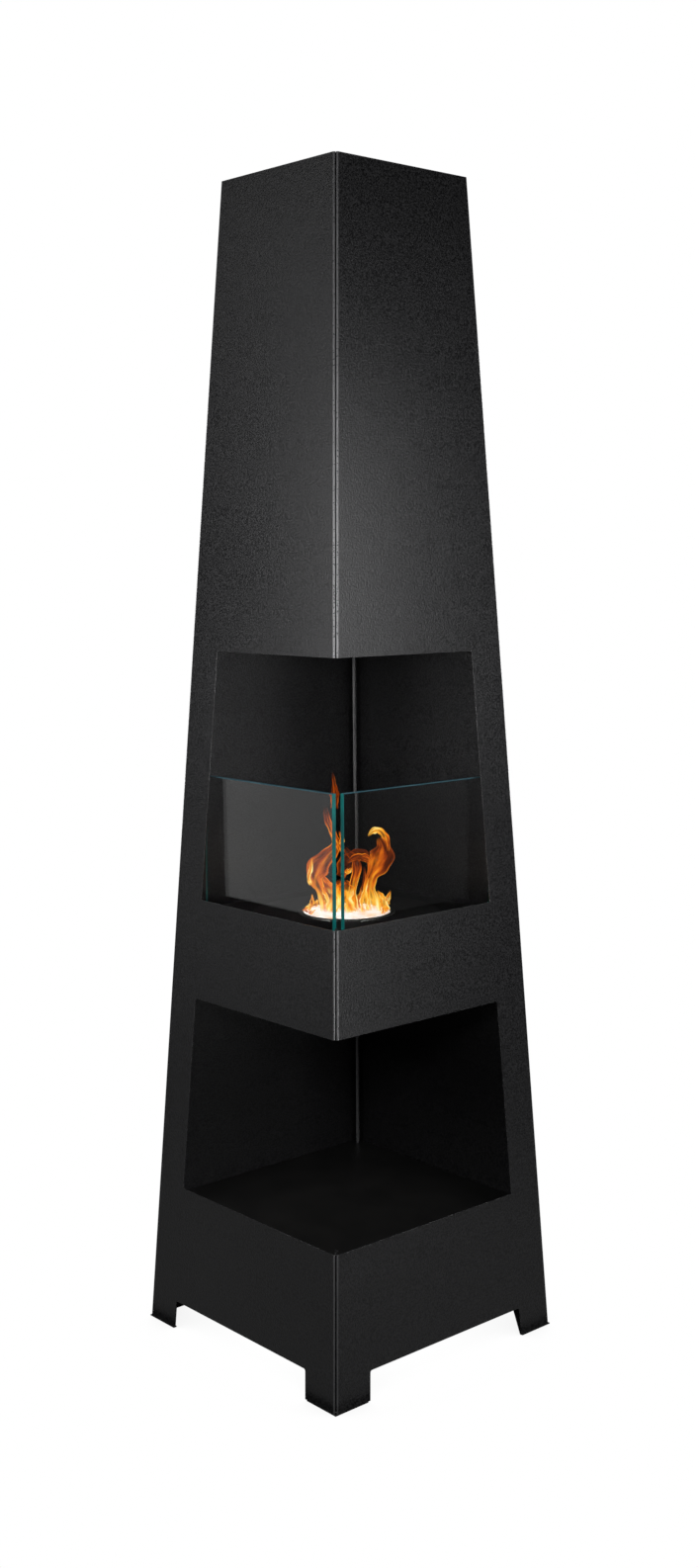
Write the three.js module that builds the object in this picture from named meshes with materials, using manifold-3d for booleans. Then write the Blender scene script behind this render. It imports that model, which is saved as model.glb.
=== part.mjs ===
// Outdoor bioethanol tower heater: a tapered square column of folded sheet steel.
// Units are millimetres, +Z is up, and the origin is the centre of the base on the ground.
// The corner (+X, -Y) is the front corner. Both windows are cut across it.
import * as THREE from 'three';
import { mergeVertices } from 'three/addons/utils/BufferGeometryUtils.js';
import Module from 'manifold-3d';

// ---- driving dimensions ----------------------------------------------------------
const HEIGHT = 2000;
const BASE_SIDE = 515;
const TOP_SIDE = 295;
const GAP = 0.3;

const SHEET = 2;
const PANEL_BOTTOM = 2;
const BEND_RADIUS = 2.6;
const SEAM_GAP = 0.4;
const FLANGE_DEPTH = 20;
const TOP_RETURN = 16;
const BEND_SEGMENTS = 6;
const INNER_BEND_SEGMENTS = 3;

const WINDOW_MARGIN = 75;
const WINDOW_CORNER = 2;
const FIRE_WINDOW = [784, 1216];
const STORE_WINDOW = [262, 609];

const LEG_WIDTH = 76;
const LEG_HEIGHT = 52;
const LEG_CORNER = 4;
const GUSSET_WIDTH = 24;

const RIVET_HEIGHTS = [130, 696, 1420, 1900];
const RIVET_INSET = 17.5;
const RIVET_RADIUS = 2.4;

const PLATE = 3;
const SHELF_TOP = 752;
const FLOOR_TOP = 223;
const SLOT_HALF_WIDTH = 3.2;
const SLOT_DEPTH = 28;
const SHELF_HOLE = 150;

const RAIL = 25;
const RAIL_SHEET = 2.5;
const SHELF_RAIL_LENGTH = 240;
const FLOOR_RAIL_LENGTH = 300;
const STUD_INSET = 13.5;
const STUD_RADIUS = 2.4;
const STUD_LENGTH = 12;
const NUT_HEIGHT = 4;
const NUT_WIDTH = 8;

const PANE_THICKNESS = 8;
const PANE_HEIGHT = 244;
const PANE_WIDTH = 340;
const PANE_PLANE = 188;
const LEFT_PANE_END = 178;
const RIGHT_PANE_END = 173;
const CLIP_LENGTH = 40;
const CLIP_HEIGHT = 18;
const CLIP_SHEET = 2;
const CLIP_PLAY = 0.4;
const CLIP_SPREAD = 115;

const COVER_RADIUS = 163;
const COVER_HOLE = 76.5;
const COVER_SKIRT = 147;
const COVER_SKIRT_DEPTH = 8;
const CAN_RADIUS = 75;
const CAN_RIM = 83;
const CAN_DEPTH = 82;
const CAN_SHEET = 1.5;
const FILLER_RADIUS = 73;
const ROUND_SEGMENTS = 60;
const STUD_SEGMENTS = 16;
const RIVET_SEGMENTS = 12;

const SOLE_THICKNESS = PANEL_BOTTOM - GAP;
const SOLE_INSET = 0.5;
const SOLE_WIDTH = 7;
const SOLE_REACH = 72;

// ---- solid modelling helpers -------------------------------------------------------
const wasm = await Module();
wasm.setup();

const SQRT2 = Math.SQRT2;
const QUARTER = Math.PI / 2;

function toManifold(geometry) {
  const plain = geometry.clone();
  plain.deleteAttribute('normal');
  plain.deleteAttribute('uv');
  const welded = mergeVertices(plain, 1e-4);
  return new wasm.Manifold(new wasm.Mesh({
    numProp: 3,
    vertProperties: new Float32Array(welded.attributes.position.array),
    triVerts: new Uint32Array(welded.index.array),
  }));
}

function toGeometry(solid) {
  const mesh = solid.getMesh();
  const geometry = new THREE.BufferGeometry();
  geometry.setAttribute('position', new THREE.BufferAttribute(mesh.vertProperties, 3));
  geometry.setIndex(new THREE.BufferAttribute(mesh.triVerts, 1));
  return geometry;
}

function combine(base, added, removed) {
  let solid = toManifold(base);
  for (const geometry of added) {
    solid = solid.add(toManifold(geometry));
  }
  for (const geometry of removed) {
    solid = solid.subtract(toManifold(geometry));
  }
  return toGeometry(solid);
}

function polygon(points) {
  return new THREE.Shape(points.map(([x, y]) => new THREE.Vector2(x, y)));
}

// A polygon whose corners are rounded by the given radius.
function roundedPolygon(points, radius) {
  const shape = new THREE.Shape();
  const count = points.length;
  points.forEach((point, i) => {
    const corner = new THREE.Vector2(...point);
    const before = new THREE.Vector2(...points[(i + count - 1) % count]);
    const after = new THREE.Vector2(...points[(i + 1) % count]);
    const start = corner.clone().add(before.sub(corner).setLength(radius));
    const end = corner.clone().add(after.sub(corner).setLength(radius));
    if (i === 0) {
      shape.moveTo(start.x, start.y);
    } else {
      shape.lineTo(start.x, start.y);
    }
    shape.quadraticCurveTo(corner.x, corner.y, end.x, end.y);
  });
  shape.closePath();
  return shape;
}

// A flat slab of the given outline between two heights.
function slab(shape, bottom, top) {
  const options = { depth: top - bottom, bevelEnabled: false, curveSegments: 4 };
  return new THREE.ExtrudeGeometry(shape, options).translate(0, 0, bottom);
}

// A prism whose outline is drawn in (x, z) and which runs from y0 to y1.
function prismAlongY(shape, y0, y1) {
  const options = { depth: y1 - y0, bevelEnabled: false, curveSegments: 4 };
  return new THREE.ExtrudeGeometry(shape, options).rotateX(QUARTER).translate(0, y1, 0);
}

// A prism whose outline is drawn in (y, z) and which runs from x0 to x1.
function prismAlongX(shape, x0, x1) {
  const options = { depth: x1 - x0, bevelEnabled: false };
  return new THREE.ExtrudeGeometry(shape, options).rotateX(QUARTER).rotateZ(QUARTER).translate(x0, 0, 0);
}

function upright(radius, bottom, top, x, y, segments) {
  const geometry = new THREE.CylinderGeometry(radius, radius, top - bottom, segments);
  return geometry.rotateX(QUARTER).translate(x, y, (top + bottom) / 2);
}

// A solid of revolution about +Z from a closed (radius, height) profile.
function turned(profile, segments) {
  const points = profile.map(([r, z]) => new THREE.Vector2(r, z));
  return new THREE.LatheGeometry(points, segments).rotateX(QUARTER);
}

// ---- shared layout -----------------------------------------------------------------
function halfSide(z) {
  return (BASE_SIDE + (TOP_SIDE - BASE_SIDE) * z / HEIGHT) / 2;
}

// Bend of a panel's corner flange, measured from the column's corner:
// du runs along the face away from the panel, v runs into the column.
const BEND_DU = -(1 + SQRT2) * BEND_RADIUS - SEAM_GAP / SQRT2;

function bendPoint(radius, angle) {
  return [BEND_DU + radius * Math.cos(angle), BEND_RADIUS + radius * Math.sin(angle)];
}

function cornerProfile() {
  const points = [];
  const sweep = 0.75 * Math.PI;
  for (let i = 0; i <= BEND_SEGMENTS; i += 1) {
    points.push(bendPoint(BEND_RADIUS, -QUARTER + sweep * i / BEND_SEGMENTS));
  }
  const reach = FLANGE_DEPTH / SQRT2;
  const [du, v] = points[points.length - 1];
  points.push([du - reach, v + reach]);
  points.push([du - reach - SHEET / SQRT2, v + reach - SHEET / SQRT2]);
  for (let i = INNER_BEND_SEGMENTS; i >= 0; i -= 1) {
    points.push(bendPoint(BEND_RADIUS - SHEET, -QUARTER + sweep * i / INNER_BEND_SEGMENTS));
  }
  return points;
}

// Distance s inward along the diagonal and t across it, as (du, v) from the corner.
function onDiagonal(s, t) {
  return [-(s + t) / SQRT2, (s - t) / SQRT2];
}

// Corner outline that leaves a slot for the two seam flanges.
function slottedCorner() {
  const edge = SHEET + 0.5;
  const mouth = edge + SLOT_HALF_WIDTH * SQRT2;
  return [
    [-mouth, edge],
    onDiagonal(SLOT_DEPTH, SLOT_HALF_WIDTH),
    onDiagonal(SLOT_DEPTH, -SLOT_HALF_WIDTH),
    [-edge, mouth],
  ];
}

// Square plate that fills the column at one height, with its four corners slotted
// and four studs welded underneath.
function decking(top) {
  const side = halfSide(top);
  const outline = [];
  for (let k = 0; k < 4; k += 1) {
    for (const [du, v] of slottedCorner()) {
      const point = new THREE.Vector2(side + du, v - side);
      point.rotateAround(new THREE.Vector2(0, 0), k * QUARTER);
      outline.push([point.x, point.y]);
    }
  }
  const studs = [];
  for (let k = 0; k < 4; k += 1) {
    const stud = upright(STUD_RADIUS, top - PLATE - STUD_LENGTH, top - 1, 0, studY(top), STUD_SEGMENTS);
    studs.push(stud.rotateZ(k * QUARTER));
  }
  return combine(slab(polygon(outline), top - PLATE, top), studs, []);
}

// ---- folded panels -----------------------------------------------------------------
function panelShell() {
  const profile = cornerProfile();
  const side = halfSide(0);
  const right = profile.map(([du, v]) => [side + du, v]);
  const left = profile.map(([du, v]) => [-side - du, v]).reverse();
  const geometry = slab(polygon([...right, ...left]), 0, 1);
  const position = geometry.attributes.position;
  for (let i = 0; i < position.count; i += 1) {
    const z = position.getZ(i) > 0.5 ? HEIGHT : PANEL_BOTTOM;
    const u = position.getX(i);
    const x = u + Math.sign(u) * (halfSide(z) - side);
    position.setXYZ(i, x, position.getY(i) - halfSide(z), z);
  }
  return geometry;
}

// The strip folded inward along a panel's top edge, mitred at both ends.
function topReturn() {
  const side = halfSide(HEIGHT);
  const [du, v] = bendPoint(BEND_RADIUS - SHEET / 2, Math.PI / 4);
  const reach = TOP_RETURN - v;
  const half = [
    [side + BEND_DU, 1 - side],
    [side + du, v - side],
    [side + du - reach, TOP_RETURN - side],
  ];
  const mirrored = half.map(([x, y]) => [-x, y]).reverse();
  return slab(polygon([...half, ...mirrored]), HEIGHT - SHEET, HEIGHT);
}

// Tapered gusset on the inner edge of a panel's right-hand leg.
function legGusset() {
  const top = LEG_HEIGHT + 8;
  const y = -halfSide(PANEL_BOTTOM) + 1;
  const outline = [
    [y, PANEL_BOTTOM],
    [y + 3, PANEL_BOTTOM],
    [y + GUSSET_WIDTH, LEG_HEIGHT],
    [y + GUSSET_WIDTH, top],
    [-halfSide(top) + 1, top],
  ];
  const x = halfSide(0) - LEG_WIDTH + 0.6;
  return prismAlongX(polygon(outline), x, x + SHEET);
}

function legCutout() {
  const low = -20;
  const x0 = halfSide(low) - LEG_WIDTH;
  const x1 = halfSide(LEG_HEIGHT) - LEG_WIDTH;
  const outline = [[-x0, low], [x0, low], [x1, LEG_HEIGHT], [-x1, LEG_HEIGHT]];
  return prismAlongY(roundedPolygon(outline, LEG_CORNER), -BASE_SIDE, -TOP_SIDE / 3);
}

// Window cut through a panel from its margin to beyond the front corner.
// openSide is +1 when the front corner is at the panel's right-hand end.
function windowCutout([z0, z1], openSide) {
  const x0 = WINDOW_MARGIN - halfSide(z0);
  const x1 = WINDOW_MARGIN - halfSide(z1);
  const outline = [[x0, z0], [BASE_SIDE, z0], [BASE_SIDE, z1], [x1, z1]];
  const sided = outline.map(([x, z]) => [x * openSide, z]);
  return prismAlongY(roundedPolygon(sided, WINDOW_CORNER), -BASE_SIDE, -TOP_SIDE / 3);
}

function rivetPoint(z) {
  const [du, v] = onDiagonal(RIVET_INSET, 0);
  return [halfSide(z) + du, v - halfSide(z)];
}

function rivetHoles() {
  const holes = [];
  for (const z of RIVET_HEIGHTS) {
    for (const end of [1, -1]) {
      const [x, y] = rivetPoint(z);
      const radius = RIVET_RADIUS + GAP;
      const hole = new THREE.CylinderGeometry(radius, radius, 16, RIVET_SEGMENTS);
      hole.rotateZ(-end * QUARTER / 2).translate(end * x, y, z);
      holes.push(hole);
    }
  }
  return holes;
}

function panelGeometry(openSide) {
  const cutouts = [legCutout(), ...rivetHoles()];
  if (openSide !== 0) {
    cutouts.push(windowCutout(FIRE_WINDOW, openSide), windowCutout(STORE_WINDOW, openSide));
  }
  return combine(panelShell(), [topReturn(), legGusset()], cutouts);
}

// ---- small hardware ----------------------------------------------------------------
function rivetGeometry() {
  const grip = SEAM_GAP / 2 + SHEET + GAP;
  return turned([
    [0, -grip - 1.6],
    [3, -grip - 1.3],
    [3.6, -grip],
    [RIVET_RADIUS, -grip],
    [RIVET_RADIUS, grip],
    [4.6, grip],
    [3.4, grip + 1.2],
    [0, grip + 1.6],
  ], RIVET_SEGMENTS);
}

// Hexagon nut under a rail, with its lower face on z = 0.
function nutGeometry() {
  const outline = [];
  for (let i = 0; i < 6; i += 1) {
    const angle = i * Math.PI / 3;
    const reach = NUT_WIDTH / Math.sqrt(3);
    outline.push([reach * Math.cos(angle), reach * Math.sin(angle)]);
  }
  const bore = upright(STUD_RADIUS + GAP, -5, NUT_HEIGHT + 5, 0, 0, STUD_SEGMENTS);
  return combine(slab(polygon(outline), 0, NUT_HEIGHT), [], [bore]);
}

// Angle rail that carries a deck: one leg follows the leaning panel, one lies flat.
function railGeometry(deckTop, length) {
  const top = deckTop - PLATE - GAP;
  const bottom = top - RAIL;
  const back = (z) => SHEET + GAP - halfSide(z);
  const outline = [
    [back(top), top],
    [back(top) + RAIL, top],
    [back(top) + RAIL, top - RAIL_SHEET],
    [back(top - RAIL_SHEET) + RAIL_SHEET, top - RAIL_SHEET],
    [back(bottom) + RAIL_SHEET, bottom],
    [back(bottom), bottom],
  ];
  const rail = prismAlongX(polygon(outline), -length / 2, length / 2);
  const hole = upright(STUD_RADIUS + GAP, bottom, top + 5, 0, studY(deckTop), STUD_SEGMENTS);
  return combine(rail, [], [hole]);
}

function studY(deckTop) {
  return SHEET + GAP - halfSide(deckTop - PLATE - GAP) + STUD_INSET;
}

// U-shaped shoe that a pane stands in, centred on x = 0 with its slot along X.
function clipGeometry() {
  const outer = PANE_THICKNESS / 2 + CLIP_PLAY + CLIP_SHEET;
  const inner = outer - CLIP_SHEET;
  const outline = [
    [-outer, 0],
    [outer, 0],
    [outer, CLIP_HEIGHT],
    [inner, CLIP_HEIGHT],
    [inner, CLIP_SHEET],
    [-inner, CLIP_SHEET],
    [-inner, CLIP_HEIGHT],
    [-outer, CLIP_HEIGHT],
  ];
  return prismAlongX(polygon(outline), -CLIP_LENGTH / 2, CLIP_LENGTH / 2);
}

// Safety-glass pane standing on z = 0 with ground edges, long side along X.
function paneGeometry() {
  const half = PANE_THICKNESS / 2;
  const arris = 0.8;
  const outline = [
    [-half + arris, 0],
    [half - arris, 0],
    [half, arris],
    [half, PANE_HEIGHT - arris],
    [half - arris, PANE_HEIGHT],
    [-half + arris, PANE_HEIGHT],
    [-half, PANE_HEIGHT - arris],
    [-half, arris],
  ];
  return prismAlongX(polygon(outline), -PANE_WIDTH / 2, PANE_WIDTH / 2);
}

// ---- burner ------------------------------------------------------------------------
const COVER_BOTTOM = SHELF_TOP + GAP;
const COVER_TOP = COVER_BOTTOM + PLATE;
const RIM_BOTTOM = COVER_TOP + GAP;
const RIM_TOP = RIM_BOTTOM + CAN_SHEET;
const CAN_BOTTOM = RIM_TOP - CAN_DEPTH;

function coverGeometry() {
  const skirt = COVER_BOTTOM - COVER_SKIRT_DEPTH;
  const profile = [
    [COVER_HOLE, COVER_BOTTOM],
    [COVER_SKIRT - 2, COVER_BOTTOM],
    [COVER_SKIRT - 2, skirt],
    [COVER_SKIRT, skirt],
    [COVER_SKIRT, COVER_BOTTOM],
    [COVER_RADIUS - 0.6, COVER_BOTTOM],
    [COVER_RADIUS, COVER_BOTTOM + 0.6],
    [COVER_RADIUS, COVER_TOP - 1],
    [COVER_RADIUS - 1, COVER_TOP],
    [COVER_HOLE + 0.6, COVER_TOP],
    [COVER_HOLE, COVER_TOP - 0.6],
  ];
  return turned([...profile, profile[0]], ROUND_SEGMENTS);
}

function canGeometry() {
  const inner = CAN_RADIUS - CAN_SHEET;
  return turned([
    [0, CAN_BOTTOM],
    [CAN_RADIUS - 4, CAN_BOTTOM],
    [CAN_RADIUS - 1, CAN_BOTTOM + 1],
    [CAN_RADIUS, CAN_BOTTOM + 4],
    [CAN_RADIUS, RIM_BOTTOM],
    [CAN_RIM, RIM_BOTTOM],
    [CAN_RIM, RIM_TOP - 0.5],
    [CAN_RIM - 0.5, RIM_TOP],
    [inner + 0.5, RIM_TOP],
    [inner, RIM_TOP - 0.5],
    [inner, CAN_BOTTOM + 5],
    [inner - 3, CAN_BOTTOM + CAN_SHEET],
    [0, CAN_BOTTOM + CAN_SHEET],
  ], ROUND_SEGMENTS);
}

function fillerGeometry() {
  const bottom = CAN_BOTTOM + CAN_SHEET + GAP;
  const top = RIM_TOP - 0.8;
  return turned([
    [0, bottom],
    [FILLER_RADIUS - 4, bottom],
    [FILLER_RADIUS, bottom + 4],
    [FILLER_RADIUS, top - 1.5],
    [FILLER_RADIUS - 1.5, top],
    [0, top + 0.3],
  ], ROUND_SEGMENTS);
}

// ---- feet --------------------------------------------------------------------------
// L-shaped rubber sole under the front corner's leg.
function soleGeometry() {
  const outer = halfSide(0) - SOLE_INSET;
  const inner = outer - SOLE_WIDTH;
  const end = halfSide(0) - SOLE_REACH;
  const outline = [
    [end, -outer],
    [outer, -outer],
    [outer, -end],
    [inner, -end],
    [inner, -inner],
    [end, -inner],
  ];
  return slab(polygon(outline), 0, SOLE_THICKNESS);
}

// ---- assembly ----------------------------------------------------------------------
const FINISH = {
  powder_coat: { color: 0x1e1e20, roughness: 0.62, metalness: 0.2 },
  inner_steel: { color: 0x191a1b, roughness: 0.7, metalness: 0.2 },
  stainless: { color: 0xb9bcbd, roughness: 0.32, metalness: 0.95 },
  burner_black: { color: 0x232324, roughness: 0.4, metalness: 0.4 },
  zinc: { color: 0x8f9294, roughness: 0.45, metalness: 0.85 },
  glass: { color: 0xcfe3e0, roughness: 0.05, metalness: 0, transparent: true, opacity: 0.3 },
  ceramic: { color: 0xe9e4da, roughness: 0.95, metalness: 0 },
  rubber: { color: 0x141414, roughness: 0.9, metalness: 0 },
};

const heater = new THREE.Group();
heater.name = 'outdoor_heater';

function addPart(name, geometry, finish) {
  geometry.computeVertexNormals();
  const mesh = new THREE.Mesh(geometry, new THREE.MeshStandardMaterial(FINISH[finish]));
  mesh.name = name;
  heater.add(mesh);
  return mesh;
}

const FACES = ['front_left', 'front_right', 'rear_right', 'rear_left'];
const OPEN_SIDE = [1, -1, 0, 0];
const CORNERS = ['front', 'right', 'rear', 'left'];

FACES.forEach((face, k) => {
  const turn = k * QUARTER;
  addPart(`panel_${face}`, panelGeometry(OPEN_SIDE[k]), 'powder_coat').rotation.z = turn;

  const shelfRail = railGeometry(SHELF_TOP, SHELF_RAIL_LENGTH);
  addPart(`shelf_rail_${face}`, shelfRail, 'inner_steel').rotation.z = turn;
  const floorRail = railGeometry(FLOOR_TOP, FLOOR_RAIL_LENGTH);
  addPart(`floor_rail_${face}`, floorRail, 'inner_steel').rotation.z = turn;

  for (const [deck, top] of [['shelf', SHELF_TOP], ['floor', FLOOR_TOP]]) {
    const nut = addPart(`${deck}_nut_${face}`, nutGeometry(), 'zinc');
    nut.position.set(0, studY(top), top - PLATE - RAIL_SHEET - 2 * GAP - NUT_HEIGHT);
    nut.position.applyAxisAngle(new THREE.Vector3(0, 0, 1), turn);
    nut.rotation.z = turn;
  }
});

CORNERS.forEach((corner, k) => {
  const turn = k * QUARTER;
  RIVET_HEIGHTS.forEach((z, i) => {
    const rivet = addPart(`seam_rivet_${corner}_${i + 1}`, rivetGeometry(), 'zinc');
    const [x, y] = rivetPoint(z);
    rivet.position.set(x, y, z).applyAxisAngle(new THREE.Vector3(0, 0, 1), turn);
    rivet.rotation.set(QUARTER, 0, turn + 1.5 * QUARTER, 'ZYX');
  });
  addPart(`foot_sole_${corner}`, soleGeometry(), 'rubber').rotation.z = turn;
});

const shelfHole = upright(SHELF_HOLE, SHELF_TOP - 10, SHELF_TOP + 10, 0, 0, ROUND_SEGMENTS);
addPart('burner_shelf', combine(decking(SHELF_TOP), [], [shelfHole]), 'inner_steel');
addPart('storage_floor', decking(FLOOR_TOP), 'inner_steel');

const clipBottom = SHELF_TOP + GAP;
const paneBottom = clipBottom + CLIP_SHEET + GAP;
const paneMiddle = PANE_PLANE - PANE_THICKNESS / 2;
const leftMiddle = LEFT_PANE_END - PANE_WIDTH / 2;
const rightMiddle = PANE_WIDTH / 2 - RIGHT_PANE_END;

for (const [i, side] of [-1, 1].entries()) {
  const left = addPart(`glass_clip_left_${i + 1}`, clipGeometry(), 'stainless');
  left.position.set(leftMiddle + side * CLIP_SPREAD, -paneMiddle, clipBottom);
  const right = addPart(`glass_clip_right_${i + 1}`, clipGeometry(), 'stainless');
  right.position.set(paneMiddle, rightMiddle + side * CLIP_SPREAD, clipBottom);
  right.rotation.z = QUARTER;
}
addPart('glass_pane_left', paneGeometry(), 'glass').position.set(leftMiddle, -paneMiddle, paneBottom);
const rightPane = addPart('glass_pane_right', paneGeometry(), 'glass');
rightPane.position.set(paneMiddle, rightMiddle, paneBottom);
rightPane.rotation.z = QUARTER;

addPart('burner_cover', coverGeometry(), 'burner_black');
addPart('burner_can', canGeometry(), 'stainless');
addPart('ceramic_filler', fillerGeometry(), 'ceramic');

export default heater;
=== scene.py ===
"""Looks of the bioethanol tower heater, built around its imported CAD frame."""
import math
import random

import bmesh
import bpy
from mathutils import Matrix, Vector


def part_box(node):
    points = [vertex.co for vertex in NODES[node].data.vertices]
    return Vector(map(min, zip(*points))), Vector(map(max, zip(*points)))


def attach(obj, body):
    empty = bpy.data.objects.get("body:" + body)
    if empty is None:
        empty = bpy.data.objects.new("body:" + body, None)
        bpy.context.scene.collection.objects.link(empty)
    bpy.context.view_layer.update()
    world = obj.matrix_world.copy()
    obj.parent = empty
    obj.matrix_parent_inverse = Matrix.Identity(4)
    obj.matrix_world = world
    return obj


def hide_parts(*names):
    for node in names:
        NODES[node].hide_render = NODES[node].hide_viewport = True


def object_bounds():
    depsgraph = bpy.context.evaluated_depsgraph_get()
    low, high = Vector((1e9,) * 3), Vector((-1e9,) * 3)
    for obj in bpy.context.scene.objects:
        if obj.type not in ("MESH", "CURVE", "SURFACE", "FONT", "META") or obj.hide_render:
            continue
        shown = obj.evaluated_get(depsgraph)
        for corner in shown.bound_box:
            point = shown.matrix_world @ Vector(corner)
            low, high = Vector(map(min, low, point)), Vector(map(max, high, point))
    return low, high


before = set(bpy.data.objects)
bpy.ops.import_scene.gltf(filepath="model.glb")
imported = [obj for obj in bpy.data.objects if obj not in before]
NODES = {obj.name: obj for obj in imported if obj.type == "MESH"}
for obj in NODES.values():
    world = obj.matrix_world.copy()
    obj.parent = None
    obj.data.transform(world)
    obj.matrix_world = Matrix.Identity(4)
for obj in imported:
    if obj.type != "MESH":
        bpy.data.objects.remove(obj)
CAD_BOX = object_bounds()

# ---- camera: a view from the front corner, tilted slightly down ----------------------
CAMERA_PLACE = Vector((2.2537, -1.9978, 1.3689))
CAMERA_AZIMUTH = math.radians(48.34)
CAMERA_PITCH = math.radians(7.33)
CAMERA_ROLL = math.radians(-0.245)
CAMERA_LENS = 39.92


def axes_of_view():
    """Right, up and forward vectors of the camera."""
    right = Vector((math.cos(CAMERA_AZIMUTH), math.sin(CAMERA_AZIMUTH), 0))
    level = Vector((-math.sin(CAMERA_AZIMUTH), math.cos(CAMERA_AZIMUTH), 0))
    rise = Vector((0, 0, 1))
    forward = level * math.cos(CAMERA_PITCH) - rise * math.sin(CAMERA_PITCH)
    up = rise * math.cos(CAMERA_PITCH) + level * math.sin(CAMERA_PITCH)
    cos_roll, sin_roll = math.cos(CAMERA_ROLL), math.sin(CAMERA_ROLL)
    return right * cos_roll + up * sin_roll, up * cos_roll - right * sin_roll, forward


def make_camera():
    right, up, forward = axes_of_view()
    data = bpy.data.cameras.new("camera")
    data.lens = CAMERA_LENS
    data.clip_end = 60
    camera = bpy.data.objects.new("camera", data)
    turn = Matrix((right, up, -forward)).transposed().to_4x4()
    camera.matrix_world = Matrix.Translation(CAMERA_PLACE) @ turn
    bpy.context.scene.collection.objects.link(camera)
    bpy.context.scene.camera = camera


# ---- node helpers ----------------------------------------------------------------------
class Material:
    """A procedural material around one Principled shader."""

    def __init__(self, name, **values):
        self.material = bpy.data.materials.new(name)
        self.material.use_nodes = True
        self.tree = self.material.node_tree
        self.tree.nodes.clear()
        self.output = self.tree.nodes.new("ShaderNodeOutputMaterial")
        self.shader = self.tree.nodes.new("ShaderNodeBsdfPrincipled")
        self.link(self.shader.outputs["BSDF"], self.output.inputs["Surface"])
        for key, value in values.items():
            self.shader.inputs[key.replace("_", " ")].default_value = value
        self.place = self.node("ShaderNodeTexCoord").outputs["Object"]

    def node(self, kind, **properties):
        node = self.tree.nodes.new(kind)
        for key, value in properties.items():
            setattr(node, key, value)
        return node

    def link(self, source, target):
        self.tree.links.new(source, target)

    def noise(self, scale, detail=2.0, roughness=0.5, stretch=None):
        """Factor output of a noise texture, in cycles per metre."""
        texture = self.node("ShaderNodeTexNoise")
        texture.inputs["Scale"].default_value = scale
        texture.inputs["Detail"].default_value = detail
        texture.inputs["Roughness"].default_value = roughness
        if stretch is None:
            self.link(self.place, texture.inputs["Vector"])
        else:
            mapping = self.node("ShaderNodeMapping")
            mapping.inputs["Scale"].default_value = stretch
            self.link(self.place, mapping.inputs["Vector"])
            self.link(mapping.outputs["Vector"], texture.inputs["Vector"])
        return texture.outputs["Fac"]

    def spread(self, factor, low, high, start=0.3, end=0.7):
        """Maps a factor from start..end to low..high."""
        node = self.node("ShaderNodeMapRange")
        for key, value in (("From Min", start), ("From Max", end), ("To Min", low), ("To Max", high)):
            node.inputs[key].default_value = value
        self.link(factor, node.inputs["Value"])
        return node.outputs["Result"]

    def math(self, operation, *terms, clamp=False):
        """Folds terms, sockets or numbers, with one arithmetic operation."""
        result = terms[0]
        for term in terms[1:] or (None,):
            node = self.node("ShaderNodeMath", operation=operation, use_clamp=clamp)
            for socket, value in zip(node.inputs, (result, term)):
                if isinstance(value, bpy.types.NodeSocket):
                    self.link(value, socket)
                elif value is not None:
                    socket.default_value = value
            result = node.outputs[0]
        return result

    def mix_color(self, factor, first, second):
        node = self.node("ShaderNodeMix", data_type="RGBA")
        self.link(factor, node.inputs[0])
        for socket, value in ((node.inputs[6], first), (node.inputs[7], second)):
            if isinstance(value, tuple):
                socket.default_value = (*value, 1)
            else:
                self.link(value, socket)
        return node.outputs[2]

    def ramp(self, factor, stops):
        node = self.node("ShaderNodeValToRGB")
        elements = node.color_ramp.elements
        while len(elements) < len(stops):
            elements.new(0.5)
        for element, (position, color) in zip(elements, stops):
            element.position = position
            element.color = (*color, 1)
        self.link(factor, node.inputs["Fac"])
        return node.outputs["Color"]

    def bump(self, *layers, fade=None):
        """Stacks (height, strength, distance) layers into the shader's normal, less where fade is 1."""
        normal = None
        for height, strength, distance in layers:
            node = self.node("ShaderNodeBump")
            if fade is None:
                node.inputs["Strength"].default_value = strength
            else:
                faded = self.spread(fade, strength, 0.1 * strength, start=0, end=1)
                self.link(faded, node.inputs["Strength"])
            node.inputs["Distance"].default_value = distance
            self.link(height, node.inputs["Height"])
            if normal is not None:
                self.link(normal, node.inputs["Normal"])
            normal = node.outputs["Normal"]
        self.link(normal, self.shader.inputs["Normal"])

    def set(self, key, source):
        """Links a texture to the Principled socket of that name."""
        self.link(source, self.shader.inputs[key])


# ---- materials ---------------------------------------------------------------------------
# At a corner of the column |x| + |y| equals its side, which shrinks with height.
BASE_SIDE = 0.515
TOP_SIDE = 0.295
TAPER = (BASE_SIDE - TOP_SIDE) / CAD_BOX[1][2]
BEND_DEPTH = 0.006
FLANGE_DEPTH = 0.0371
FLANGE_HALF_WIDTH = 0.004
# Painted shade: the painted highlight on the bends fades in between these heights, darker towards the
# base.
PAINTED_SHADE_HEIGHTS = (0.2, 0.62)


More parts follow.
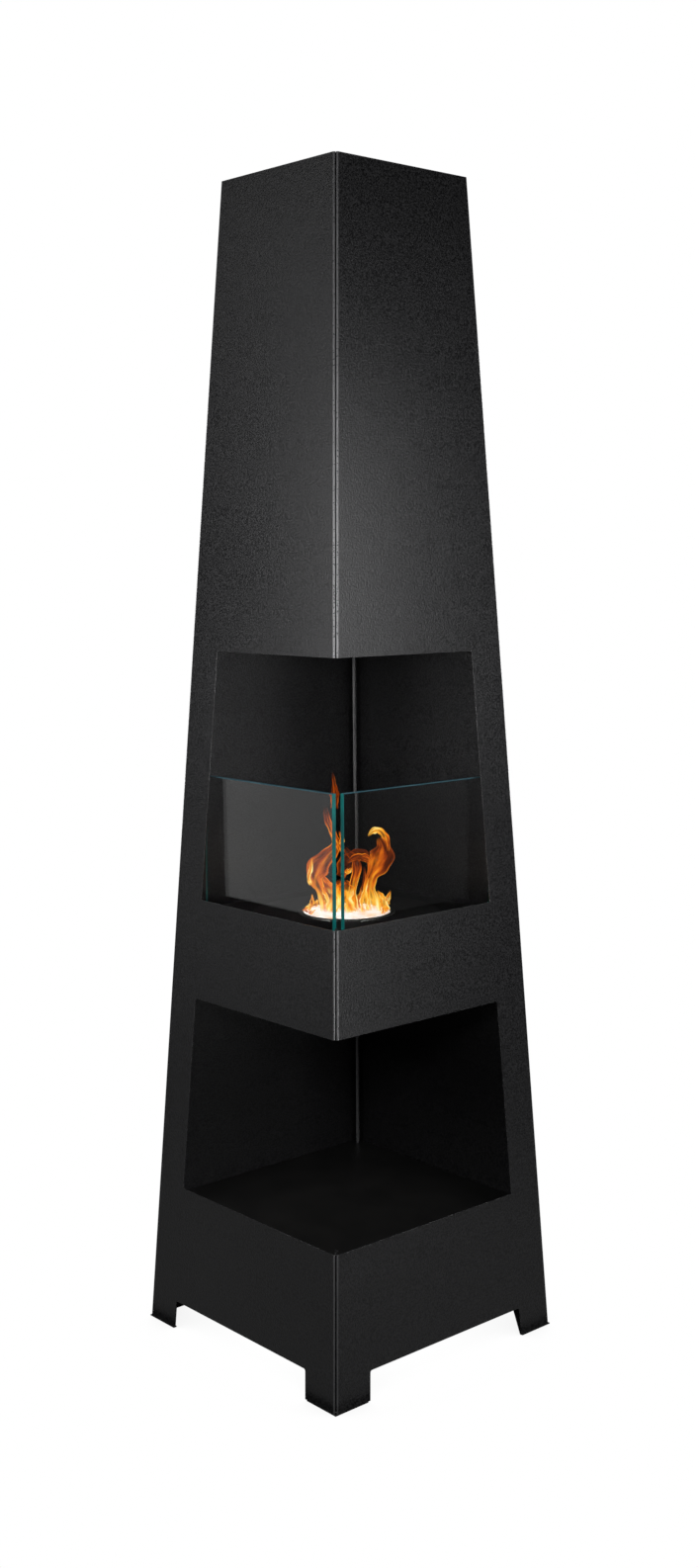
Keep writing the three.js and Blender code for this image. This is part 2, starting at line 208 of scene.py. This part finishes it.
def corner_masks(m):
    """Masks of the corner bends and of the inner flange edges, where highlights are painted, and of
    painted shade that darkens them towards the base.
    """
    parts = m.node("ShaderNodeSeparateXYZ")
    m.link(m.place, parts.inputs[0])
    x = m.math("ABSOLUTE", parts.outputs["X"])
    y = m.math("ABSOLUTE", parts.outputs["Y"])
    level = m.math("ADD", x, y, m.math("MULTIPLY", parts.outputs["Z"], TAPER))
    bend_start = BASE_SIDE - BEND_DEPTH
    bend = m.spread(level, 0, 1, start=bend_start - 0.0002, end=bend_start + 0.0002)
    flange_end = BASE_SIDE - FLANGE_DEPTH
    deep = m.spread(level, 1, 0, start=flange_end - 0.0005, end=flange_end + 0.0005)
    aside = m.math("ABSOLUTE", m.math("SUBTRACT", x, y))
    near = m.spread(aside, 1, 0, start=FLANGE_HALF_WIDTH - 0.0004, end=FLANGE_HALF_WIDTH + 0.0004)
    # Painted shade: a weaker painted highlight towards the base.
    painted_shade_by_height = m.spread(parts.outputs["Z"], 0.3, 1, start=PAINTED_SHADE_HEIGHTS[0], end=PAINTED_SHADE_HEIGHTS[1])
    return bend, m.math("MULTIPLY", deep, near), painted_shade_by_height


def powder_coat():
    """Anthracite powder coat with orange-peel speckle; the corner bends and inner flange edges get a
    lighter metal colour as a painted highlight, fading to painted shade towards the base.
    """
    m = Material("powder_coat", Specular_IOR_Level=0.5)
    speckle = m.noise(340, detail=1, roughness=0.6)
    grain = m.noise(900, detail=2)
    cloud = m.noise(3.1, detail=4)
    bend, flange, painted_shade_by_height = corner_masks(m)
    # Painted highlight: lighter, metallic colour on the bends and inner flange edges.
    highlight_patches = m.math("MULTIPLY", painted_shade_by_height, m.spread(m.noise(45, detail=4), 0.75, 1.0))
    painted_highlight = m.math("MULTIPLY", bend, highlight_patches)
    bend_and_flange_highlight = m.math("MAXIMUM", painted_highlight, m.math("MULTIPLY", flange, 0.55))
    paint = m.ramp(speckle, [(0.36, (0.005, 0.005, 0.0055)), (0.64, (0.025, 0.025, 0.0265))])
    m.set("Base Color", m.mix_color(bend_and_flange_highlight, paint, (0.42, 0.42, 0.43)))
    m.set("Metallic", m.math("MULTIPLY", bend_and_flange_highlight, 0.9))
    rough = m.math("ADD", m.spread(speckle, 0.31, 0.45), m.spread(cloud, -0.03, 0.04))
    m.set("Roughness", m.math("SUBTRACT", rough, m.math("MULTIPLY", painted_highlight, 0.08)))
    m.bump((speckle, 0.65, 0.001), (grain, 0.3, 0.0004), fade=bend)
    return m.material


def cut_edge():
    """The narrow rounded edges of the cut sheet, given a lighter metal colour as a painted highlight.
    """
    m = Material("cut_edge", Metallic=0.6)
    painted_highlight = m.noise(120, detail=4, roughness=0.6)
    # Painted highlight: lighter metal colour on the rounded edges.
    m.set("Base Color", m.ramp(painted_highlight, [(0.35, (0.34, 0.34, 0.345)), (0.65, (0.62, 0.62, 0.63))]))
    m.set("Roughness", m.spread(painted_highlight, 0.35, 0.5))
    m.bump((painted_highlight, 0.2, 0.0002))
    return m.material


def inner_coat():
    """Smoother black coat on the decks and rails, with a little soot."""
    m = Material("inner_coat", Specular_IOR_Level=0.5)
    grain = m.noise(700, detail=2)
    soot = m.noise(9, detail=5, roughness=0.65)
    m.set("Base Color", m.ramp(soot, [(0.35, (0.008, 0.008, 0.008)), (0.7, (0.014, 0.0135, 0.013))]))
    m.set("Roughness", m.spread(soot, 0.37, 0.42))
    m.bump((grain, 0.12, 0.0002))
    return m.material


STEEL = (0.62, 0.62, 0.6)


def brushed_steel(name, stretch=(1, 1, 1)):
    """Brushed stainless steel, a little smeared."""
    m = Material(name, Metallic=1.0)
    lines = m.noise(900, detail=3, stretch=stretch)
    smear = m.noise(14, detail=3)
    smeared = tuple(0.72 * value for value in STEEL)
    m.set("Base Color", m.ramp(smear, [(0.3, smeared), (0.7, STEEL)]))
    m.set("Roughness", m.spread(lines, 0.2, 0.42))
    m.bump((lines, 0.15, 0.0002))
    return m.material


def zinc():
    """Zinc-plated steel of the nuts and rivets."""
    m = Material("zinc_plate", Metallic=1.0)
    spangle = m.noise(260, detail=3)
    m.set("Base Color", m.ramp(spangle, [(0.3, (0.3, 0.31, 0.32)), (0.7, (0.52, 0.53, 0.54))]))
    m.set("Roughness", m.spread(spangle, 0.32, 0.5))
    m.bump((spangle, 0.15, 0.0002))
    return m.material


def pane_body():
    """Clear tempered glass with a faint green body tint."""
    m = Material("pane_glass", Transmission_Weight=1.0, IOR=1.5)
    m.shader.inputs["Base Color"].default_value = (0.985, 0.992, 0.989, 1)
    haze = m.noise(38, detail=5, roughness=0.6)
    m.set("Roughness", m.spread(haze, 0.0, 0.012))
    return m.material


def pane_edge(name, low, high):
    """Ground edge of a pane, where the glass shows its own green."""
    m = Material(name, Specular_IOR_Level=0.5)
    grind = m.noise(700, detail=3)
    wave = m.noise(21, detail=2)
    m.set("Base Color", m.ramp(wave, [(0.3, low), (0.7, high)]))
    m.set("Roughness", m.spread(grind, 0.25, 0.45))
    m.bump((grind, 0.2, 0.0002))
    return m.material


def rubber():
    """Black rubber of the soles."""
    m = Material("rubber", Specular_IOR_Level=0.35)
    grain = m.noise(900, detail=3)
    m.set("Base Color", m.ramp(grain, [(0.3, (0.012, 0.012, 0.012)), (0.7, (0.03, 0.03, 0.03))]))
    m.set("Roughness", m.spread(grain, 0.7, 0.9))
    m.bump((grain, 0.3, 0.0003))
    return m.material


def cover_black():
    """Semi-gloss heat-proof black of the burner cover."""
    m = Material("burner_black", Specular_IOR_Level=0.5)
    smear = m.noise(11, detail=4, roughness=0.6)
    grain = m.noise(800, detail=2)
    m.set("Base Color", m.ramp(smear, [(0.35, (0.021, 0.021, 0.021)), (0.7, (0.026, 0.0255, 0.025))]))
    m.set("Roughness", m.spread(smear, 0.3, 0.35))
    m.bump((grain, 0.05, 0.0001))
    return m.material


def ceramic():
    """Porous white ceramic fibre, with the flames' light painted on as a glow, white with orange
    patches.
    """
    m = Material("ceramic_fibre", Roughness=0.95)
    fibre = m.noise(300, detail=4, roughness=0.6)
    painted_flame_light = m.noise(42, detail=4, roughness=0.6)
    m.set("Base Color", m.ramp(fibre, [(0.3, (0.72, 0.68, 0.62)), (0.65, (0.9, 0.87, 0.8))]))
    # Painted light: emission stands in for the flames' light on the filler.
    m.set("Emission Color", m.ramp(painted_flame_light, [
        (0.38, (1.0, 0.60, 0.34)), (0.47, (1.0, 0.80, 0.68)), (0.56, (1.0, 0.95, 0.90)),
    ]))
    m.set("Emission Strength", m.spread(fibre, 0.82, 1.12))
    m.bump((fibre, 0.5, 0.0012))
    return m.material


# ---- finishing the CAD nodes -----------------------------------------------------------
BEVEL_ANGLE = math.radians(40)


def coat(material, names):
    """Gives the named CAD nodes one material."""
    for name in names:
        slots = NODES[name].data.materials
        slots.clear()
        slots.append(material)


def soften(names, width, edge=None):
    """Rounds the named nodes' sharp edges, and gives the rounding a finish of its own if told to."""
    for name in names:
        weld = NODES[name].modifiers.new("weld", "WELD")
        weld.merge_threshold = 1e-5
        bevel = NODES[name].modifiers.new("bevel", "BEVEL")
        bevel.width = width
        bevel.segments = 2
        bevel.limit_method = "ANGLE"
        bevel.angle_limit = BEVEL_ANGLE
        bevel.use_clamp_overlap = True
        if edge is not None:
            NODES[name].data.materials.append(edge)
            bevel.material = 1


def starting(*prefixes):
    """Names of the CAD nodes that begin with one of the prefixes."""
    return sorted(name for name in NODES if name.startswith(prefixes))


def finish_frame():
    coat(powder_coat(), starting("panel_"))
    coat(inner_coat(), starting("shelf_rail", "floor_rail", "burner_shelf", "storage_floor"))
    coat(zinc(), starting("shelf_nut", "floor_nut", "seam_rivet"))
    coat(brushed_steel("shoe_steel", stretch=(1, 1, 12)), starting("glass_clip"))
    coat(brushed_steel("can_steel"), ["burner_can"])
    coat(cover_black(), ["burner_cover"])
    coat(ceramic(), ["ceramic_filler"])
    coat(rubber(), starting("foot_sole"))
    # The rounded panel edges carry the painted highlight of cut_edge.
    soften(starting("panel_"), 0.0005, edge=cut_edge())
    soften(starting("burner_shelf", "storage_floor", "shelf_rail", "floor_rail"), 0.0004)
    soften(starting("glass_clip"), 0.0003)


# ---- new pieces --------------------------------------------------------------------------
def add_mesh(name, vertices, faces, materials, smooth=True):
    """A new piece whose face normals all point outward."""
    mesh = bpy.data.meshes.new(name)
    mesh.from_pydata(vertices, [], faces)
    for material in materials:
        mesh.materials.append(material)
    shell = bmesh.new()
    shell.from_mesh(mesh)
    bmesh.ops.recalc_face_normals(shell, faces=shell.faces)
    shell.to_mesh(mesh)
    shell.free()
    if smooth:
        mesh.shade_smooth()
    piece = bpy.data.objects.new(name, mesh)
    bpy.context.scene.collection.objects.link(piece)
    return piece


PANE_THICKNESS = 0.008
PANE_ARRIS = 0.0009


def pane_rings():
    """Depths and end insets of a pane's four rings, from one broad side to the other."""
    half = PANE_THICKNESS / 2
    flat = half - PANE_ARRIS
    return [(-half, PANE_ARRIS), (-flat, 0.0), (flat, 0.0), (half, PANE_ARRIS)]


def make_pane(name, node, body, along, materials):
    """A pane with ground, slightly bevelled edges; its long side runs along axis 0 or 1."""
    low, high = (Vector(corner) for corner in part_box(node))
    centre = (low + high) / 2
    reach = (high - low) / 2
    across = 1 - along
    vertices = []
    for depth, inset in pane_rings():
        for side, rise in ((-1, -1), (1, -1), (1, 1), (-1, 1)):
            point = centre.copy()
            point[across] += depth
            point[along] += side * (reach[along] - inset)
            point.z += rise * (reach.z - inset)
            vertices.append(point)
    faces = [(3, 2, 1, 0), (12, 13, 14, 15)]
    for ring in range(3):
        for k in range(4):
            a = 4 * ring + k
            b = 4 * ring + (k + 1) % 4
            faces.append((a, b, b + 4, a + 4))
    pane = add_mesh(name, vertices, faces, materials, smooth=False)
    for polygon in pane.data.polygons[2:]:
        upward = abs(polygon.normal.z) > 0.5
        polygon.material_index = 2 if upward else 1
    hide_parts(node)
    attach(pane, body)


def make_panes():
    """Both panes, with greener ground ends than top and bottom rims."""
    end = pane_edge("pane_end", (0.0, 0.10, 0.10), (0.0, 0.17, 0.16))
    rim = pane_edge("pane_rim", (0.03, 0.10, 0.13), (0.06, 0.16, 0.20))
    make_pane("pane_left", "glass_pane_left", "left_pane", 0, [pane_body(), end, rim])
    make_pane("pane_right", "glass_pane_right", "right_pane", 1, [pane_body(), end, rim])


# ---- flames ------------------------------------------------------------------------------
# Each tongue is a list of stations: side, depth, height and half width in
# millimetres from the middle of the burner mouth, then heat from 0 to 1. Side grows to the
# photograph's right, and depth grows towards its viewer, close to the front corner.
FLAME_SIDE = Vector((0.665, 0.747, 0))
FLAME_DEPTH = Vector((0.747, -0.665, 0))
FLAME_FLATNESS = 0.34
FLAME_STEPS = 30
FLAME_RING = 16
FLAME_TWIST = 0.35
FLAME_SWAY = 0.5
FLAME_FOLD = 0.25
TANGENT_STEP = 0.02
THINNEST_HALF_WIDTH = 0.2

LEFT_FLAMES = [
    [(-36, 6, 1, 9, 0.9), (-38, 8, 22, 10, 0.95), (-45, 8, 42, 13, 0.8), (-53, 6, 60, 17, 0.62),
     (-46, 4, 80, 17, 0.5), (-32, 2, 97, 13, 0.45), (-18, 0, 115, 9, 0.5), (-15, -2, 130, 3, 0.4)],
    [(-60, 8, 48, 3, 0.9), (-64, 8, 62, 4, 1.0), (-59, 7, 78, 3.5, 1.0), (-58, 6, 96, 1, 0.7)],
    [(-10, 0, 106, 4, 0.7), (-17, 0, 124, 5, 0.6), (-25, 1, 145, 6, 0.5), (-31, 2, 166, 7, 0.35),
     (-34, 2, 186, 4, 0.2)],
    [(-12, 2, 118, 2.5, 0.8), (-9, 2, 128, 3, 0.7), (-13, 1, 142, 1, 0.5)],
    [(-20, 0, 182, 5, 0.2), (-19, 0, 202, 6, 0.3), (-21, 1, 222, 4, 0.3), (-24, 1, 246, 1, 0.2)],
    [(-26, 14, 2, 8, 1.0), (-24, 16, 20, 10, 1.0), (-26, 15, 38, 11, 0.8), (-38, 10, 56, 8, 0.6),
     (-44, 8, 72, 3, 0.5)],
]
CENTRE_FLAMES = [
    [(-6, 18, 2, 16, 1.0), (-7, 20, 20, 17, 1.0), (-8, 20, 38, 18, 0.85), (-8, 18, 50, 15, 0.6),
     (-8, 15, 58, 6, 0.45)],
    [(8, 6, 2, 10, 0.9), (6, 7, 26, 9, 0.85), (10, 5, 52, 6, 0.6), (15, 2, 74, 7, 0.4),
     (12, 0, 92, 8, 0.25), (0, -2, 104, 5, 0.25), (-6, -3, 112, 2, 0.3)],
    [(-12, -8, 60, 8, 0.3), (-4, -9, 78, 12, 0.22), (8, -9, 94, 12, 0.2), (26, -8, 100, 8, 0.25),
     (40, -6, 92, 3, 0.3)],
    [(20, -4, 2, 6, 0.8), (17, -5, 14, 7, 0.7), (24, -6, 30, 6, 0.55), (30, -7, 52, 4, 0.4),
     (28, -8, 78, 2, 0.3)],
    [(-4, 2, 74, 3, 0.6), (1, 2, 70, 4, 0.8), (6, 1, 78, 1.5, 0.6)],
]
RIGHT_FLAMES = [
    [(46, 2, 1, 18, 0.95), (42, 3, 22, 13, 0.95), (38, 2, 44, 10, 0.75), (42, 0, 62, 14, 0.6),
     (52, -2, 80, 20, 0.5), (60, -3, 98, 18, 0.4), (61, -3, 116, 12, 0.42), (54, -3, 130, 5, 0.6)],
    [(70, -2, 106, 3, 0.5), (70, -3, 120, 4, 0.6), (64, -3, 134, 6, 0.8), (54, -3, 143, 6, 0.95),
     (43, -3, 141, 4, 1.0), (35, -3, 132, 1, 0.9)],
    [(30, 12, 2, 8, 1.0), (27, 13, 22, 7, 1.0), (30, 12, 42, 5, 0.9), (34, 8, 62, 3, 0.7)],
    [(64, 4, 1, 8, 0.9), (60, 5, 16, 8, 1.0), (56, 4, 28, 5, 0.9), (50, 2, 36, 2, 0.7)],
    [(68, 2, 12, 4, 0.8), (70, 2, 22, 4, 0.9), (74, 1, 36, 1, 0.7)],
    [(-1, 10, 88, 1.5, 0.25), (14, 8, 98, 5, 0.3), (28, 5, 96, 6, 0.4), (40, 0, 88, 4, 0.5)],
]
RIM_LICKS = 15
RIM_RADIUS = 69
RIM_START = 155
RIM_SWEEP = 230


def smooth_between(stations, t):
    """Catmull-Rom value of a list of stations at t in 0..1."""
    span = t * (len(stations) - 1)
    k = min(int(span), len(stations) - 2)
    f = span - k
    a, b, c, d = (stations[min(max(k + j, 0), len(stations) - 1)] for j in (-1, 0, 1, 2))
    return [
        q + 0.5 * f * (r - p + f * (2 * p - 5 * q + 4 * r - s + f * (3 * (q - r) + s - p)))
        for p, q, r, s in zip(a, b, c, d)
    ]


def flame_point(station):
    """Place of a station in metres, from the middle of the burner mouth."""
    side, depth, height = (value / 1000 for value in station[:3])
    return FLAME_SIDE * side + FLAME_DEPTH * depth + Vector((0, 0, height))


def add_tongue(stations, origin, chance, sink):
    """Sweeps a lens-shaped section along the stations and appends it to sink."""
    vertices, faces, notes = sink
    first = len(vertices)
    phase = chance.uniform(0, 40)
    twist = chance.uniform(-FLAME_TWIST, FLAME_TWIST)
    sway = [chance.uniform(0, 6.28) for _ in range(3)]
    for i in range(FLAME_STEPS + 1):
        t = i / FLAME_STEPS
        station = smooth_between(stations, t)
        before = flame_point(smooth_between(stations, max(t - TANGENT_STEP, 0)))
        after = flame_point(smooth_between(stations, min(t + TANGENT_STEP, 1)))
        along = (after - before).normalized()
        wide = FLAME_DEPTH.cross(along).normalized()
        turn = twist + FLAME_SWAY * math.sin(3 * t + sway[0])
        wide = Matrix.Rotation(turn, 3, along) @ wide
        thin = along.cross(wide)
        half = max(station[3], THINNEST_HALF_WIDTH) / 1000
        half *= 1.08 + 0.16 * math.sin(13 * t + sway[1]) + 0.1 * math.sin(31 * t + sway[2])
        centre = origin + flame_point(station)
        for k in range(FLAME_RING):
            angle = 2 * math.pi * k / FLAME_RING
            across, through = math.cos(angle), math.sin(angle)
            fold = FLAME_FOLD * math.sin(2 * math.pi * across + 5 * t + sway[0])
            offset = wide * across * half + thin * (through + fold) * FLAME_FLATNESS * half
            vertices.append(centre + offset)
            notes.append((across, through * 0.4 + phase, t, station[4]))
    for i in range(FLAME_STEPS):
        for k in range(FLAME_RING):
            a = first + i * FLAME_RING + k
            b = first + i * FLAME_RING + (k + 1) % FLAME_RING
            faces.append((a, b, b + FLAME_RING, a + FLAME_RING))
    last = first + FLAME_STEPS * FLAME_RING
    faces.append(tuple(first + k for k in reversed(range(FLAME_RING))))
    faces.append(tuple(last + k for k in range(FLAME_RING)))


def rim_licks(chance):
    """Small tongues that stand round the edge of the burner mouth."""
    licks = []
    for i in range(RIM_LICKS):
        share = (i + chance.uniform(-0.3, 0.3)) / (RIM_LICKS - 1)
        angle = math.radians(RIM_START + RIM_SWEEP * share)
        side = RIM_RADIUS * math.cos(angle)
        depth = RIM_RADIUS * math.sin(angle)
        height = chance.uniform(9, 26) * (1.25 - 0.75 * math.sin(angle)) * 0.62
        lean = chance.uniform(-6, 6)
        width = chance.uniform(3.5, 7)
        licks.append([
            (side, depth, 0, width, 0.7),
            (0.97 * side, 0.97 * depth, 0.35 * height, 0.9 * width, 0.8),
            (0.93 * side + 0.4 * lean, 0.95 * depth, 0.7 * height, 0.5 * width, 0.9),
            (0.9 * side + lean, 0.92 * depth, height, 0.4, 0.8),
        ])
    return licks


def flame_glow():
    """Burning vapour: bright folded edges, streaks along the flow, thin brown-red inside."""
    m = Material("flame")
    m.tree.nodes.remove(m.shader)
    flow = m.node("ShaderNodeAttribute", attribute_name="flow")
    heat = m.node("ShaderNodeAttribute", attribute_name="warmth").outputs["Fac"]
    parts = m.node("ShaderNodeSeparateXYZ")
    m.link(flow.outputs["Vector"], parts.inputs[0])
    m.place = flow.outputs["Vector"]
    streaks = m.noise(1.0, detail=3, roughness=0.5, stretch=(1.5, 1.5, 2.2))
    wisps = m.noise(1.0, detail=2, roughness=0.55, stretch=(1.2, 1.2, 3.6))
    edge = m.spread(m.math("ABSOLUTE", parts.outputs["X"]), 0, 1, start=0.74, end=0.98)
    tip = m.spread(parts.outputs["Z"], 1, 0, start=0.78, end=1.0)
    root = m.spread(parts.outputs["Z"], 0.3, 1, start=0.0, end=0.1)
    bright = m.math("ADD", heat, m.spread(streaks, -0.62, 0.1), m.math("MULTIPLY", edge, 0.2))
    color = m.ramp(bright, [
        (0.0, (0.10, 0.016, 0.003)), (0.2, (0.42, 0.06, 0.005)), (0.42, (0.9, 0.19, 0.008)),
        (0.62, (1.0, 0.36, 0.018)), (0.8, (1.0, 0.58, 0.07)), (1.0, (1.0, 0.84, 0.36)),
    ])
    glow = m.node("ShaderNodeEmission")
    m.link(color, glow.inputs["Color"])
    m.link(m.spread(bright, 0.85, 1.3, start=0.2, end=1.0), glow.inputs["Strength"])
    body = m.spread(wisps, 0.1, 0.92, start=0.38, end=0.6)
    cover = m.math("ADD", body, m.math("MULTIPLY", edge, 0.3))
    alpha = m.math("MULTIPLY", cover, m.math("MULTIPLY", tip, root), clamp=True)
    clear = m.node("ShaderNodeBsdfTransparent")
    mix = m.node("ShaderNodeMixShader")
    m.link(alpha, mix.inputs["Fac"])
    m.link(clear.outputs[0], mix.inputs[1])
    m.link(glow.outputs[0], mix.inputs[2])
    m.link(mix.outputs[0], m.output.inputs["Surface"])
    return m.material


def make_flame(name, tongues, material, chance):
    """A piece of several tongues that stand on the filler and ride with the burner."""
    filler_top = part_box("ceramic_filler")[1][2]
    origin = Vector((0, 0, filler_top))
    sink = ([], [], [])
    for stations in tongues:
        add_tongue(stations, origin, chance, sink)
    vertices, faces, notes = sink
    flame = add_mesh(name, vertices, faces, [material])
    flow = flame.data.attributes.new("flow", "FLOAT_VECTOR", "POINT")
    flow.data.foreach_set("vector", [value for note in notes for value in note[:3]])
    warmth = flame.data.attributes.new("warmth", "FLOAT", "POINT")
    warmth.data.foreach_set("value", [note[3] for note in notes])
    flame.visible_diffuse = False
    flame.visible_glossy = False
    flame.visible_shadow = False
    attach(flame, "burner")


def make_fire():
    chance = random.Random(7)
    material = flame_glow()
    make_flame("flame_left", LEFT_FLAMES, material, chance)
    make_flame("flame_centre", CENTRE_FLAMES, material, chance)
    make_flame("flame_right", RIGHT_FLAMES, material, chance)
    make_flame("flame_rim", rim_licks(chance), material, chance)


# ---- studio ------------------------------------------------------------------------------
WORLD_STRENGTH = 0.01
FLOOR_REACH = 40
CONTACT_REACH = 0.22
CARD_HEIGHT = 0.01


def set_world():
    """Surroundings that the camera sees white and that light the object only faintly."""
    world = bpy.data.worlds.new("studio")
    bpy.context.scene.world = world
    world.use_nodes = True
    tree = world.node_tree
    background = tree.nodes["Background"]
    seen = tree.nodes.new("ShaderNodeBackground")
    seen.inputs["Color"].default_value = (1, 1, 1, 1)
    seen.inputs["Strength"].default_value = 1.0
    background.inputs["Color"].default_value = (1, 1, 1, 1)
    background.inputs["Strength"].default_value = WORLD_STRENGTH
    path = tree.nodes.new("ShaderNodeLightPath")
    mix = tree.nodes.new("ShaderNodeMixShader")
    tree.links.new(path.outputs["Is Camera Ray"], mix.inputs["Fac"])
    tree.links.new(background.outputs[0], mix.inputs[1])
    tree.links.new(seen.outputs[0], mix.inputs[2])
    tree.links.new(mix.outputs[0], tree.nodes["World Output"].inputs["Surface"])


def area_light(name, place, target, width, height, power):
    """Rectangular softbox aimed at a point, itself unseen."""
    data = bpy.data.lights.new(name, "AREA")
    data.shape = "RECTANGLE"
    data.size = width
    data.size_y = height
    data.energy = power
    light = bpy.data.objects.new(name, data)
    light.location = place
    direction = Vector(target) - Vector(place)
    light.rotation_euler = direction.to_track_quat("-Z", "Y").to_euler()
    light.visible_camera = False
    bpy.context.scene.collection.objects.link(light)


def floor_material():
    """White sweep: the camera sees it white with a soft contact shadow, the object sees it dim."""
    m = Material("studio_floor", Roughness=0.95, Specular_IOR_Level=0.0)
    grain = m.noise(60, detail=2)
    m.set("Base Color", m.ramp(grain, [(0.3, (0.05, 0.05, 0.05)), (0.7, (0.06, 0.06, 0.06))]))
    contact = m.node("ShaderNodeAmbientOcclusion", samples=16)
    contact.inputs["Distance"].default_value = CONTACT_REACH
    glow = m.node("ShaderNodeEmission")
    m.link(m.spread(contact.outputs["AO"], 0.86, 1.0, start=0.2, end=0.75), glow.inputs["Strength"])
    path = m.node("ShaderNodeLightPath")
    mix = m.node("ShaderNodeMixShader")
    m.link(path.outputs["Is Camera Ray"], mix.inputs["Fac"])
    m.link(m.shader.outputs["BSDF"], mix.inputs[1])
    m.link(glow.outputs[0], mix.inputs[2])
    m.link(mix.outputs[0], m.output.inputs["Surface"])
    return m.material


def make_floor():
    mesh = bpy.data.meshes.new("studio_floor")
    corners = [(x * FLOOR_REACH, y * FLOOR_REACH, 0) for x, y in ((-1, -1), (1, -1), (1, 1), (-1, 1))]
    mesh.from_pydata(corners, [], [(0, 1, 2, 3)])
    mesh.materials.append(floor_material())
    floor = bpy.data.objects.new("studio_floor", mesh)
    bpy.context.scene.collection.objects.link(floor)


def reflector(name, low, high, brightness):
    """A card lying on the floor that only mirror-like surfaces see."""
    (x0, y0), (x1, y1) = low, high
    mesh = bpy.data.meshes.new(name)
    corners = [(x, y, CARD_HEIGHT) for x, y in ((x0, y0), (x1, y0), (x1, y1), (x0, y1))]
    mesh.from_pydata(corners, [], [(0, 1, 2, 3)])
    material = bpy.data.materials.new(name)
    material.use_nodes = True
    tree = material.node_tree
    tree.nodes.clear()
    glow = tree.nodes.new("ShaderNodeEmission")
    glow.inputs["Color"].default_value = (brightness, brightness, brightness, 1)
    output = tree.nodes.new("ShaderNodeOutputMaterial")
    tree.links.new(glow.outputs[0], output.inputs["Surface"])
    mesh.materials.append(material)
    card = bpy.data.objects.new(name, mesh)
    card.visible_camera = False
    card.visible_diffuse = False
    card.visible_shadow = False
    bpy.context.scene.collection.objects.link(card)


# Softboxes aim at the front corner, turned aside from its diagonal; the side pairs are mirrored.
FRONT_CORNER = Vector((0.2, -0.2, 0))
FRONT_BEARING = -45
AIM_DROP = 0.03
SIDE_WATTS = 3
FRONT_WATTS = 6
LOW_WATTS = 2.5
CORNER_WATTS = 4.5
HIGH_WATTS = 2
REAR_WATTS = 12


def softbox(name, aside, distance, height, width, tall, watts):
    """Softbox that faces the front corner from a bearing given in degrees off its diagonal."""
    bearing = math.radians(FRONT_BEARING + aside)
    place = FRONT_CORNER + Vector((math.cos(bearing), math.sin(bearing), 0)) * distance
    place.z = height
    area_light(name, place, (FRONT_CORNER.x, FRONT_CORNER.y, height - AIM_DROP), width, tall, watts)


def make_studio():
    set_world()
    make_floor()
    reflector("card_left", (-8, -8), (-1.6, -1.4), 0.4)
    reflector("card_right", (1.6, 1.4), (8, 8), 0.05)
    reflector("card_near_left", (-1.3, -1.3), (1.3, -0.27), 0.2)
    reflector("card_near_right", (0.27, -0.27), (1.3, 1.3), 0.2)
    for side, sign in (("left", -1), ("right", 1)):
        softbox(f"softbox_{side}_side", sign * 78, 0.9, 1.37, 0.25, 0.75, SIDE_WATTS)
        softbox(f"softbox_{side}_front", sign * 51, 1.1, 1.38, 0.25, 0.75, FRONT_WATTS)
    softbox("softbox_right_low", 62, 1.2, 0.5, 0.4, 0.4, LOW_WATTS)
    softbox("softbox_corner", 0, 1.5, 1.33, 0.12, 0.25, CORNER_WATTS)
    area_light("softbox_left_high", (-1.2, -1.6, 2.3), (0, -0.15, 1.8), 0.7, 0.5, HIGH_WATTS)
    area_light("softbox_rear_left", (-1.4, 0.1, 1.3), (-0.2, 0.2, 1.2), 0.5, 1.2, REAR_WATTS)
    area_light("softbox_rear_right", (-0.1, 1.4, 1.3), (-0.2, 0.2, 1.2), 0.5, 1.2, REAR_WATTS)
    bpy.context.scene.view_settings.view_transform = "Standard"


# ---- build -------------------------------------------------------------------------------
make_camera()
finish_frame()
make_panes()
make_fire()
make_studio()
